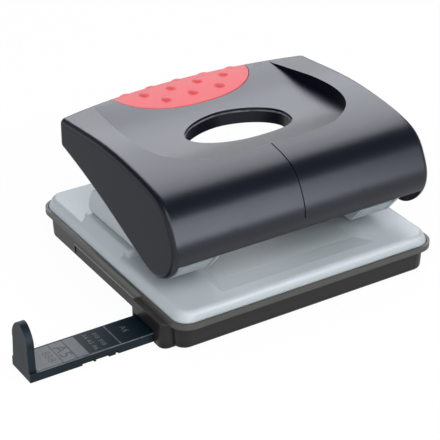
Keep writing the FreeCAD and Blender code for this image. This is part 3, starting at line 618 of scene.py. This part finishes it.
grip, grip_normal, from_foot, to_front = grip_section(221, 181)
nub_places = [(x, 29.0) for x in (-12, 0, 12)] + [(x, 35.8) for x in (-18, -6, 6, 18)]
nub_centres = [np.array([x, y, top_height(y)]) for x, y in nub_places]
edge_centres = []
diagonal = rear_edge * (1 - math.sqrt(0.5))
for x in (-24, -12, 0, 12, 24):
    wall_y = rear_wall(x)
    edge_centres.append(np.array([x, wall_y - diagonal, top_height(wall_y - rear_edge) - diagonal]))
lift = nub_lift(grip, nub_centres, 2.2, 0.75) + nub_lift(grip, edge_centres, 2.5, 0.45)
sides = (pad_half_x - np.abs(grip[..., 0])) * 3
to_edge = np.minimum(np.minimum(from_foot, to_front), sides)
roll_depth, roll_width = 0.75, 0.55
lift -= roll_depth * np.clip(1 - to_edge / roll_width, 0, 1) ** 1.5
grip = grip + grip_normal * lift[..., None]
grip_piece = skin("grip_skin", grip * mm, None, "grip_rubber")
wall_of_pad = grip_piece.modifiers.new("thickness", "SOLIDIFY")
wall_of_pad.thickness = 1.2 * mm
wall_of_pad.offset = -1.0
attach(grip_piece, "handle")
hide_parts("grip_pad")

# %% [markdown]
# ## The ledge in the window
#
# A millimetre below its rim a narrow ledge runs round the window, where the two halves of the mould meet.
# Its colour is a painted highlight, a fine pale line along the dark wall. It is a profile of five points
# carried round the window's own curve.

# %% Window ledge
window_y = -1.7


def window_curve(count, inset):
    """The window's outline in mm, moved in: |x / a| to the power p plus |y / b| to the power p is 1.

    The power is 1.8, and 2.9 in the fuller quarter at the front right.
    """
    half_x, half_y = 21.8 - inset, 13.5 - inset
    t = np.linspace(0, 2 * np.pi, count + 1)[:-1]
    power = np.where(t > 1.5 * np.pi, 2.9, 1.8)
    wave = [np.sign(f) * np.abs(f) ** (2 / power) for f in (np.cos(t), np.sin(t))]
    return handle_x + half_x * wave[0], window_y + half_y * wave[1]


ledge_steps = [(-0.15, 0.95), (0.30, 0.95), (0.50, 1.10), (0.50, 1.45), (-0.15, 1.60)]
rows = []
for inset, drop in ledge_steps:
    x, y = window_curve(192, inset)
    rows.append(np.c_[x, y, smooth_through(y, floor_y, floor_z) - drop])
# The ledge wears the pale painted highlight.
ledge = skin("window_ledge", np.stack(rows, 1)[::-1] * mm, "handle", "ledge_highlight", close_rows=True)
ledge.data.set_sharp_from_angle(angle=math.radians(30))

# %% [markdown]
# ## Marks on the guide
#
# The panel is divided by thin printed lines, and its cells carry the paper formats that the stop can be set
# to. Letters could be painted in the material, but real letter shapes are sharper: a text becomes a mesh,
# which lies two hundredths of a millimetre above the panel. On the dark plastic the words are moulded, a
# tenth of a millimetre high and pale, in the same finish as the guide's edges. They run across the guide,
# with their tops to the punch.

# %% Printed letters
def lettered(name, words, x, y, z, size, finish, height=0.02):
    """Turns a text a quarter to the right, centres it on (x, y) and gives it a height, all in mm."""
    text = bpy.data.curves.new(name, "FONT")
    text.body = words
    text.size = size
    text.extrude = height / 2
    text.space_character = 1.12
    text.align_x, text.align_y = "CENTER", "CENTER"
    writing = bpy.data.objects.new(name + "_text", text)
    mesh = bpy.data.meshes.new_from_object(writing)
    flat = np.empty(len(mesh.vertices) * 3)
    mesh.vertices.foreach_get("co", flat)
    flat = flat.reshape(-1, 3)
    place = np.c_[x + flat[:, 1], y - flat[:, 0], z + height / 2 + flat[:, 2]]
    mesh.vertices.foreach_set("co", (place * mm).ravel())
    mesh.materials.clear()
    mesh.materials.append(finishes[finish])
    piece = bpy.data.objects.new(name, mesh)
    bpy.context.scene.collection.objects.link(piece)
    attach(piece, "guide")


guide_y, guide_top = -32.6, 3.8
lettered("mark_888", "888", -97.6, guide_y - 0.6, guide_top, 4.4, "faded_ink")
lettered("mark_a5", "A5", -91.9, guide_y - 0.2, guide_top, 6.4, "mark_ink")
for name, words, x, y, size in (("mark_a4", "A4 A5 A6", -80.8, guide_y, 2.4),
                                ("mark_888_low", "888 888", -77.2, guide_y, 2.4),
                                ("mark_a6", "A6", -66.6, guide_y + 1.0, 3.4)):
    lettered(name, words, x, y, guide_top, size, "guide_wear_and_highlight", height=0.10)


# %% [markdown]
# Thin bars draw the lines between the cells, the ridge behind the panel and the two long upper edges of the
# guide, whose pale colour is a painted highlight. A bar is a rectangle with round corners, pushed along one
# axis. The edges could be part of the guide's own material, but a bar catches the light on its round
# corners.

# %% Lines across the guide and its edges, painted pale as a highlight
def rounded_bar(name, low, high, corner, finish, along=0, sides=5):
    """A bar from low to high in mm. Its section is a rectangle with round corners, along one axis."""
    across = [axis for axis in (1, 2, 0) if axis != along]
    low, high = np.array(low), np.array(high)
    quarter = np.linspace(0, np.pi / 2, sides)
    turn = np.concatenate([quarter + k * np.pi / 2 for k in range(4)])
    signs = np.repeat([[1, 1], [-1, 1], [-1, -1], [1, -1]], sides, axis=0)
    middle, half = (low + high) / 2, (high - low) / 2
    section = np.zeros((2, len(turn), 3))
    section[0, :, along], section[1, :, along] = low[along], high[along]
    for axis, sign, wave in zip(across, signs.T, (np.cos(turn), np.sin(turn))):
        section[:, :, axis] = middle[axis] + sign * (half[axis] - corner) + corner * wave
    if along == 1:
        section = section[:, ::-1]
    piece = skin(name, section[:, ::-1] * mm, "guide", finish, close_columns=True, poles=True)
    piece.data.set_sharp_from_angle(angle=math.radians(40))


bar_x0, bar_x1, bar_y0, bar_y1 = -108.0, -5.0, -39.6, -25.6
for number, x in enumerate((-94.6, -89.1)):
    rounded_bar("panel_line_%d" % number, (x - 0.22, guide_y - 6.3, 3.72), (x + 0.22, guide_y + 6.3, 3.83),
                0.03, "mark_ink", along=1)
# The ridge and the two long upper edges are painted pale: a painted highlight.
rounded_bar("panel_ridge", (-72.2, bar_y0 + 0.5, 3.7), (-71.6, bar_y1 - 0.5, 3.92), 0.1, "guide_wear_and_highlight",
            along=1)
edge_x0 = bar_x0 + 2.8
rounded_bar("front_edge", (edge_x0, bar_y0 - 0.04, 3.45), (bar_x1, bar_y0 + 0.35, 3.85), 0.14, "guide_wear_and_highlight")
rounded_bar("rear_edge", (edge_x0, bar_y1 - 0.22, 3.55), (bar_x1, bar_y1 + 0.04, 3.85), 0.12, "guide_wear_and_highlight")

# %% [markdown]
# ## The return springs
#
# Each pin is pushed up by a coil of 0.9 mm wire. A tube is a circle carried along a path: at every step of
# the path two directions at right angles to it are worked out, and the circle is drawn in them. The coil
# stands between the bracket and the pin.

# %% Tube along a path
def tube(path, radius, sides=12):
    """Circles of that radius square to the path. across = along x up, and over = across x along."""
    along = np.gradient(path, axis=0)
    along /= np.linalg.norm(along, axis=1, keepdims=True)
    across = np.cross(along, (0.0, 0.0, 1.0))
    across /= np.linalg.norm(across, axis=1, keepdims=True)
    over = np.cross(across, along)
    turn = np.linspace(0, 2 * np.pi, sides + 1)[:-1]
    ring_of = across[:, None] * np.cos(turn)[None, :, None] + over[:, None] * np.sin(turn)[None, :, None]
    return path[:, None] + ring_of * radius


web_top, spring_top, pin_y = 20.9, 34.0, -20.1
turns, wire, mean_radius = 5.0, 0.9, 5.25
for side, x in (("left", -40.0), ("right", 40.0)):
    t = np.linspace(0, 1, 361)
    turn = 2 * np.pi * turns * t
    height = t * (spring_top - web_top - wire - 0.1) + web_top + wire / 2 + 0.05
    coil = np.c_[x + mean_radius * np.cos(turn), pin_y + mean_radius * np.sin(turn), height]
    spring = skin(side + "_spring_wire", tube(coil, wire / 2) * mm, None, "spring_steel",
                  close_columns=True, poles=True)
    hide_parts(side + "_return_spring")
    x * mm
    x * mm
    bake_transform(spring)
